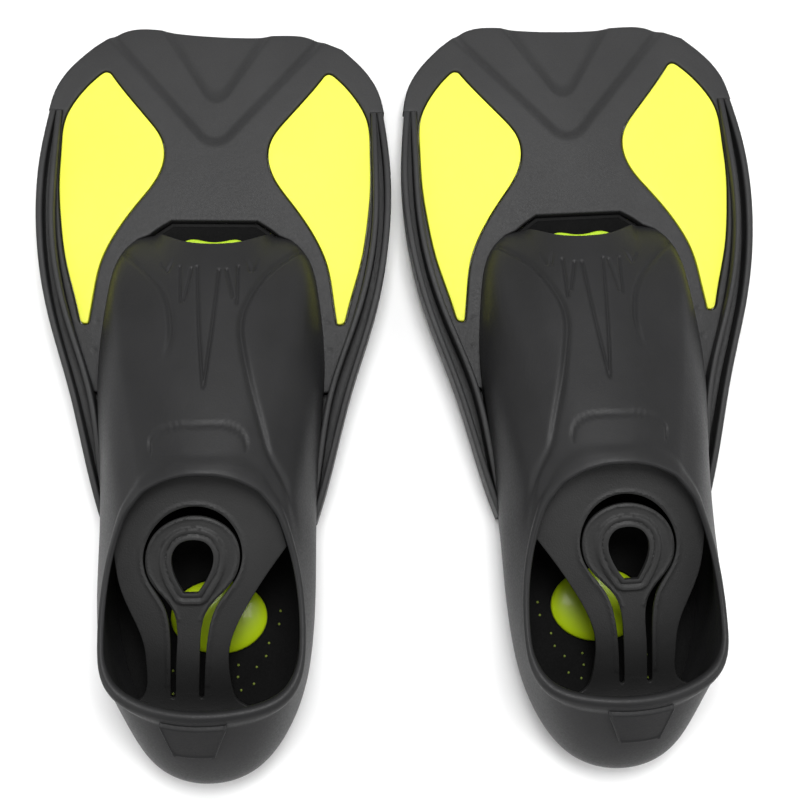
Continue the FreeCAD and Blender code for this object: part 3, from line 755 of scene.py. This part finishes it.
RIM_BEAD, BEAD_REACH = 1.3, 0.03
HEEL_BEAD = 0.03            # the bead reaches this much lower round the heel
SIDE_THINNER, HEEL_THICKER = 1.2, 1.6
HEEL_WALL, HEEL_RIM = (62, 34), (70, 35)        # y from which the heel's extras set in
ROWS_OUT, ROWS_IN = 170, 34


def wall(v, y):
    """Wall thickness: thinner towards the rim at the sides, thicker at the heel."""
    heel = smoothstep(*HEEL_WALL, y)[None, :]
    return WALL + smoothstep(0.7, 1.0, v)[:, None] * (heel * (SIDE_THINNER + HEEL_THICKER) -
                                                      SIDE_THINNER)


def pocket(seat, looks):
    """The foot pocket as one closed skin: outside, rim, inside and the edge round the toe."""
    net = pocket_net(seat)
    v = np.r_[0, np.linspace(0.004, 1, ROWS_OUT)]
    outside = pocket_sheet(net, pocket_columns, v)
    normals = sheet_normals(outside)
    top = (outside[..., 1] > ENGRAVED_FROM) & (np.abs(outside[..., 0]) < ENGRAVED_HALF)
    cut = np.where(top, engraving(outside, seat.inner), 0.0)
    heel = smoothstep(*HEEL_RIM, outside[0, :, 1])[None, :]
    bead = smoothstep(1 - BEAD_REACH - HEEL_BEAD * heel, 1 - 0.012, v[:, None])
    bead = RIM_BEAD * (1 + 0.5 * heel) * bead
    outside = outside - normals * (cut - bead * 0.55)[..., None]
    levels = np.linspace(0, 1, ROWS_IN)
    inside_wall = pocket_sheet(net, pocket_columns, levels)
    depth = wall(levels, inside_wall[-1, :, 1])
    inside_wall = inside_wall - sheet_normals(inside_wall) * depth[..., None]
    edge_out, edge_in = outside[-1], inside_wall[-1]
    rim = round_over(edge_out, edge_in, outside[-1] - outside[-3])
    toe = round_over(outside[0], inside_wall[0], outside[0] - outside[2])
    mesh = Mesh()
    rows = np.concatenate([outside, rim[1:-1], inside_wall[::-1], toe[::-1][1:-1]])
    rows = np.concatenate([rows, rows[:1]])
    mesh.grid(rows, closed=True)
    merge_last_row(mesh, rows.shape[1], rows.shape[0])
    piece(mesh, "pocket", seat, looks["pocket"], ["foot_pocket"],
          body="foot", sharp=60)
    return net


def merge_last_row(mesh, columns, rows):
    """Joins the last row of a grid to its first, which lies on the same points."""
    last = (rows - 1) * columns
    mesh.faces = [tuple(i - last if i >= last else i for i in face) for face in mesh.faces]
    mesh.points[0] = mesh.points[0][:last]
    mesh.count = last


def round_over(first, second, outwards, steps=7):
    """Rows that carry one edge over to another in half a circle that bulges outwards."""
    direction = outwards / (np.linalg.norm(outwards, axis=1)[:, None] + 1e-12)
    span = second - first
    direction = direction - span * ((direction * span).sum(1) / (span * span).sum(1))[:, None]
    direction /= np.linalg.norm(direction, axis=1)[:, None] + 1e-12
    radius = np.linalg.norm(span, axis=1)[:, None] / 2
    rows = []
    for t in np.linspace(0, math.pi, steps):
        rows.append(first + span * (1 - math.cos(t)) / 2 + direction * radius * math.sin(t))
    return np.array(rows)


# ---- inside the pocket ----
SOLE_TOE = [(48.5, 273.5), (40.5, 279.2), (34.3, 281.4), (22.9, 289.6)]
DOTS = [(30.8, 67), (29.4, 60.4), (24.7, 54.9), (15.3, 55.9), (15.1, 49.9), (23.3, 46.4),
        (16.9, 43.2), (-18.1, 53.2), (36.6, 83.4), (35.9, 76.7), (-17.8, 41.6)]
DOT_RADIUS, DOT_RISE = 0.75, 0.4
BUTTON_SKIRT, BUTTON_RISE, BUTTON_GAP = 2.0, 4.4, 0.5
PAD_EDGE = [(-24, 270), (-20, 275.5), (-16, 278.3), (-11.5, 279.6), (-5, 278.6), (0, 278.1),
            (5, 278.6), (11.5, 279.6), (16, 278.3), (20, 275.5), (24, 270)]
PAD_BACK = [(24, 228), (-24, 228)]
TREAD_PITCH, TREAD_SLANT, TREAD_DEPTH = 9.0, 0.55, 0.9
TREAD_HALF, TREAD_FROM, TREAD_TO = 42, 14, 272
OUTSOLE_LAP = 0.4           # the outsole reaches this much up into the pocket's wall


def sole_loop(seat, inset):
    """Plan of the sole: the pocket's base, closed across the toe along the frame's slot."""
    net = pocket_net(seat)[0][:, :2]
    side = next(i for i, (x, y, z) in enumerate(BASE_LOOP) if y > 270)
    heel = np.vstack([net[-side:], net[:side + 1]])
    toe = SOLE_TOE + mirrored(SOLE_TOE)
    corners = [[tuple(a), tuple(b)] for a, b in zip(toe[:-1], toe[1:])]
    loop = outline([tuple(p) for p in heel], *corners)
    return loop + inward(loop, [loop]) * inset


def ellipse(centre, size, grow, count=96):
    t = np.linspace(0, 2 * math.pi, count, endpoint=False)
    return np.c_[centre[0] + (size[0] + grow) * np.cos(t),
                 centre[1] + (size[1] + grow) * np.sin(t)]


def footbed(seat, looks):
    """The black footbed, darker than the other rubbers as painted shade of the pocket's hollow,
    open round the heel button, and its vent dots in a darkened lime that paints their shade.
    """
    centre = (seat.inner * BUTTON_AT[0], BUTTON_AT[1])
    loops = [sole_loop(seat, WALL - 1.0), ellipse(centre, BUTTON_SIZE, BUTTON_GAP)]
    bed = plate(loops, above_sole(FOOTBED_TOP), above_sole(OUTSOLE_TOP), radius=0.5,
                spacing=3.5)
    piece(bed, "footbed", seat, looks["footbed"], ["footbed"], body="foot")
    dots = Mesh()
    for x, y in DOTS:
        low = float(sole_z(y)) + FOOTBED_TOP - 0.2
        dome(dots, (seat.inner * x, y), (DOT_RADIUS, DOT_RADIUS), low, DOT_RISE, 3, 12)
    # the dots wear the darkened lime, which is painted shade
    piece(dots, "heel_dots", seat, looks["dots"], ["sole_core"], body="foot")


def dome(mesh, centre, size, low, rise, rings, around, skirt=0.0):
    """A closed oval dome: a flat underside, an upright skirt and a rounded top."""
    t = np.linspace(0, 2 * math.pi, around, endpoint=False)
    rows = [[(centre[0] + size[0] * math.cos(a), centre[1] + size[1] * math.sin(a), low)
             for a in t]]
    for k in range(rings):
        s = math.pi / 2 * k / rings
        rows.append([(centre[0] + size[0] * math.cos(s) * math.cos(a),
                      centre[1] + size[1] * math.cos(s) * math.sin(a),
                      low + skirt + rise * math.sin(s)) for a in t])
    start = mesh.count
    mesh.grid(np.array(rows), closed=True)
    top = mesh.count
    mesh.add([(centre[0], centre[1], low + skirt + rise)], [])
    last = top - around
    mesh.faces += [(last + i, last + (i + 1) % around, top) for i in range(around)]
    mesh.faces.append(tuple(start + i for i in reversed(range(around))))


def lime_under_foot(seat, looks):
    """The parts of the lime core that show inside: the heel button and the toe pad."""
    button = Mesh()
    dome(button, (seat.inner * BUTTON_AT[0], BUTTON_AT[1]), BUTTON_SIZE, OUTSOLE_TOP,
         BUTTON_RISE, 22, 96, skirt=BUTTON_SKIRT)
    piece(button, "heel_button", seat, looks["button"], ["sole_core"],
          body="foot", sharp=70)
    loop = outline(PAD_EDGE, [PAD_EDGE[-1], PAD_BACK[0]], PAD_BACK,
                   [PAD_BACK[1], PAD_EDGE[0]])
    pad = plate([loop], above_sole(PAD_TOP), above_sole(OUTSOLE_TOP), radius=1.2, spacing=4.0)
    piece(pad, "toe_pad", seat, looks["pad"], ["sole_core"], body="foot")


def outsole(seat, looks):
    """The outsole with its slanting tread bars."""

    def tread(x, y):
        bar = np.abs(((y + np.abs(x) * TREAD_SLANT) / TREAD_PITCH) % 1.0 - 0.5)
        barred = (np.abs(x) < TREAD_HALF) & (y > TREAD_FROM) & (y < TREAD_TO)
        return sole_z(y) + np.where(barred, TREAD_DEPTH * smoothstep(0.36, 0.44, bar), 0.0)

    sole = plate([sole_loop(seat, 0.15)], above_sole(OUTSOLE_TOP + OUTSOLE_LAP), tread,
                 radius=1.0, spacing=1.8)
    piece(sole, "outsole", seat, looks["sole"], ["outsole"], body="foot")


# ---- insert and hang loop ----
class BentPlate:
    """Carries a flat plate onto the insert's bent path: y becomes the way along the path."""

    def __init__(self):
        ends = np.array(INSERT_PATH[::-1], float)
        self.line = np.vstack([run(ends, 1.0), ends[-1:]])
        steps = np.linalg.norm(np.diff(self.line, axis=0), axis=1)
        self.at = np.r_[0, np.cumsum(steps)]

    def way(self, y):
        """Distance along the path at a plan position y."""
        return np.interp(y, self.line[:, 0], self.at)

    def flat(self, points):
        p = np.asarray(points, float)
        return np.c_[p[:, 0], self.way(p[:, 1])]

    def read(self, s):
        return tuple(np.interp(s, self.at, self.line[:, i]) for i in (0, 1))

    def place(self, x, s, t):
        """Final points for flat ones: x across, s along the path, t up from it."""
        y, z = self.read(s)
        (y_on, z_on), (y_back, z_back) = self.read(s + 0.6), self.read(s - 0.6)
        dy, dz = y_on - y_back, z_on - z_back
        length = np.hypot(dy, dz) + 1e-12
        return np.c_[x, y - dz / length * t, z + dy / length * t]


def leaning(points, inner):
    """Symmetric plan points moved onto the plate's leaning middle line."""
    p = np.asarray(points, float).copy()
    p[:, 0] += inner * (INSERT_SIDE + INSERT_LEAN * (p[:, 1] - INSERT_LEVEL))
    return p


def both_sides(half):
    """A run over both sides of the middle line from its right half, ending on the line."""
    return list(half) + [(-x, y) for x, y in reversed(half) if x > 0]


def ridge(away, at, width, height=1.0):
    """Height of a rounded bead that runs at a distance from an edge."""
    return height * np.exp(-((away - at) / width) ** 2)


def insert_under(x, y):
    return np.full(x.shape, -INSERT_THICKNESS)


def insert(seat, looks):
    """The shaping insert with its slot, and the tongue with the teardrop loop inside it."""
    bent = BentPlate()
    edge = outline(PLATE_HEAD, PLATE_LEFT_LEG, PLATE_FOOT, PLATE_RIGHT_LEG, step=1.0)
    edge = edge * (seat.inner, 1)
    slot_run = both_sides(LOOP_SLOT)
    root = [(-SLIT_END[0][0], STEM_ROOT), (SLIT_END[0][0], STEM_ROOT)]
    left_end = [(-x, y) for x, y in reversed(SLIT_END)]
    slot = outline(slot_run, left_end, [left_end[-1], root[0]], root, [root[1], SLIT_END[0]],
                   SLIT_END, step=0.8)
    slot = bent.flat(leaning(slot, seat.inner))
    from_slot = nearest(slot)

    def plate_top(x, y):
        clear_of_root = smoothstep(bent.way(44.0), bent.way(46.0), y)
        return ridge(from_slot(x, y), **SLOT_BEAD) * clear_of_root

    body = plate([bent.flat(edge), slot], plate_top, insert_under, radius=INSERT_ROUND,
                 spacing=1.1, place=bent.place)
    piece(body, "insert_plate", seat, looks["insert"], ["heel_insert"],
          body="insert")
    loop_run, hole_run = both_sides(LOOP), both_sides(LOOP_HOLE)
    ring = outline(loop_run, [loop_run[-1], loop_run[0]], step=0.9)
    hole = outline(hole_run, [hole_run[-1], hole_run[0]], step=0.8)
    ring, hole = (bent.flat(leaning(p, seat.inner)) for p in (ring, hole))
    from_hole, from_ring = nearest(hole), nearest(ring)

    def tongue_top(x, y):
        away = from_hole(x, y)
        collar = COLLAR_RISE * smoothstep(COLLAR_OUT, COLLAR_IN, away)
        collar = collar - ridge(away, **COLLAR_LINE)
        return collar - 0.02 + ridge(from_ring(x, y), **TONGUE_BEAD) * (away < 15)

    tongue = plate([ring, hole], tongue_top, insert_under, radius=INSERT_ROUND, spacing=0.85,
                   place=bent.place)
    piece(tongue, "hang_loop_tongue", seat, looks["insert"], ["hang_loop"],
          body="loop")


# ---- heel tab ----
TAB_LOW, TAB_HIGH = 0.745, 0.978        # shares of the pocket's height
TAB_HALF, TAB_WIDENS, TAB_CORNER = 9.6, 6.8, 2.0
CORNER_SHARE = 0.12
TAB_SIDE = 4.2                          # how far its middle lies to the outer side
TAB_RISE, TAB_BEAD, TAB_SINK, TAB_BACK = 2.7, 0.5, 0.3, 0.8


def heel_tab(seat, looks, net):
    """The grip tab: a patch of the pocket's outside, wider at the top, raised off the heel."""
    v = np.linspace(TAB_LOW, TAB_HIGH, 50)
    half = np.linspace(-1, 1, 121)
    steps = np.linalg.norm(np.roll(net, -1, axis=1) - net, axis=2)
    total = ((steps[0] + steps[1]) / 2).sum()
    rows = []
    for share, height in zip(np.linspace(0, 1, len(v)), v):
        corner = TAB_CORNER * (1 - share / CORNER_SHARE) ** 2 * (share < CORNER_SHARE)
        reach = TAB_HALF + TAB_WIDENS * share ** 1.2 - corner
        spots = (half * reach - TAB_SIDE * seat.inner) % total
        row = pocket_sheet(net, lambda knots: spots, np.array([height - 1e-3, height + 1e-3]))
        rows.append(row.mean(0))
    sheet = np.array(rows)
    normal = np.cross(np.gradient(sheet, axis=1), np.gradient(sheet, axis=0))
    normal /= np.linalg.norm(normal, axis=2)[..., None]
    u = np.abs(half)[None, :]
    w = np.linspace(0, 1, len(v))[:, None]
    raised = TAB_RISE * smoothstep(1.0, 0.965, u) * smoothstep(0, 0.035, w)
    raised = raised * smoothstep(1.0, 0.9, w)
    border = ridge(u, 0.93, 0.03) + ridge(w, 0.07, 0.035)
    raised = raised + TAB_BEAD * border * (u < 0.97) * (w > 0.03)
    mesh = Mesh()
    mesh.grid(sheet + normal * (raised - TAB_SINK)[..., None])
    back = sheet - normal * TAB_BACK
    back_grid = Mesh()
    back_grid.grid(back[:, ::-1])
    mesh.add(back_grid.points[0], back_grid.faces)
    n, m = sheet.shape[:2]
    offset = n * m
    ring = [(0, c) for c in range(m)] + [(r, m - 1) for r in range(1, n)] + \
        [(n - 1, c) for c in range(m - 2, -1, -1)] + [(r, 0) for r in range(n - 2, 0, -1)]
    front = [r * m + c for r, c in ring]
    behind = [offset + r * m + (m - 1 - c) for r, c in ring]
    for i in range(len(ring)):
        j = (i + 1) % len(ring)
        mesh.faces.append((front[j], front[i], behind[i], behind[j]))
    piece(mesh, "heel_tab", seat, looks["tab"], ["heel_tab"], body="foot")


# ---- surroundings ----
CAMERA_LENS = 69.6
CAMERA_SIDE, CAMERA_TILT, CAMERA_ROLL = 2.45, 10.96, -0.335
CAMERA_TARGET, CAMERA_AWAY = (99.03, 194.42, 8.0), 822.6     # in the left fin's millimetres
LIGHTS = (("key", (0.05, 0.42, 1.85), 0.9, 33.0),
          ("fill_left", (-1.4, -0.4, 0.8), 1.0, 9.0),
          ("fill_right", (1.4, -0.4, 0.8), 1.0, 9.0))
SKY_FADE = (("From Min", 0.3), ("From Max", 0.9), ("To Min", 0.55), ("To Max", 0.25))
FLOOR_TONE = (0.97, 0.97, 0.97, 1)


def studio():
    """A pale floor, a soft light overhead, two fills and a sky that dims towards the top."""
    scene = bpy.context.scene
    scene.view_settings.view_transform = "Standard"
    bpy.ops.mesh.primitive_plane_add(size=12, location=(0, 0, -0.0002))
    floor = bpy.context.object
    floor.name = "floor"
    n = Nodes("floor")
    n.shader.inputs["Base Color"].default_value = FLOOR_TONE
    n.shader.inputs["Roughness"].default_value = 0.9
    floor.data.materials.append(n.material)
    world = bpy.data.worlds.new("studio")
    scene.world = world
    world.use_nodes = True
    tree = world.node_tree
    place = tree.nodes.new("ShaderNodeTexCoord")
    split = tree.nodes.new("ShaderNodeSeparateXYZ")
    tree.links.new(place.outputs["Generated"], split.inputs["Vector"])
    fade = tree.nodes.new("ShaderNodeMapRange")
    tree.links.new(split.outputs["Z"], fade.inputs["Value"])
    for key, number in SKY_FADE:
        fade.inputs[key].default_value = number
    sky = tree.nodes["Background"]
    tree.links.new(fade.outputs["Result"], sky.inputs["Strength"])
    sky.inputs["Color"].default_value = (1, 1, 1, 1)
    for name, spot, size, power in LIGHTS:
        lamp = bpy.data.lights.new(name, "AREA")
        lamp.size, lamp.energy = size, power
        holder = bpy.data.objects.new(name, lamp)
        scene.collection.objects.link(holder)
        holder.location = spot
        holder.rotation_euler = (-Vector(spot)).to_track_quat("-Z", "Y").to_euler()


def camera(seat):
    """Looks down at the pair from above its heels, a little from the left."""
    scene = bpy.context.scene
    lens = bpy.data.cameras.new("camera")
    lens.lens, lens.sensor_width = CAMERA_LENS, 36.0
    lens.clip_end = 20
    eye = bpy.data.objects.new("camera", lens)
    scene.collection.objects.link(eye)
    side, tilt, roll = (math.radians(a) for a in (CAMERA_SIDE, CAMERA_TILT, CAMERA_ROLL))
    back = Vector((-math.sin(side) * math.cos(tilt), -math.sin(tilt),
                   math.cos(side) * math.cos(tilt)))
    right = Vector((0, 1, 0)).cross(back).normalized()
    up = back.cross(right)
    right, up = (right * math.cos(roll) + up * math.sin(roll),
                 up * math.cos(roll) - right * math.sin(roll))
    place = Vector(seat.world([CAMERA_TARGET])[0]) + back * CAMERA_AWAY * MM
    turn = Matrix((right, up, back)).transposed()
    eye.matrix_world = Matrix.Translation(place) @ turn.to_4x4()
    scene.camera = eye


# ---- the pair ----
def build():
    looks = make_materials()
    for hand in ("left", "right"):
        seat = Seat(hand)
        blade(seat, looks)
        for side in (1, -1):
            rail(seat, side, looks)
        net = pocket(seat, looks)
        footbed(seat, looks)
        lime_under_foot(seat, looks)
        outsole(seat, looks)
        insert(seat, looks)
        heel_tab(seat, looks, net)


build()
studio()
camera(Seat("left"))
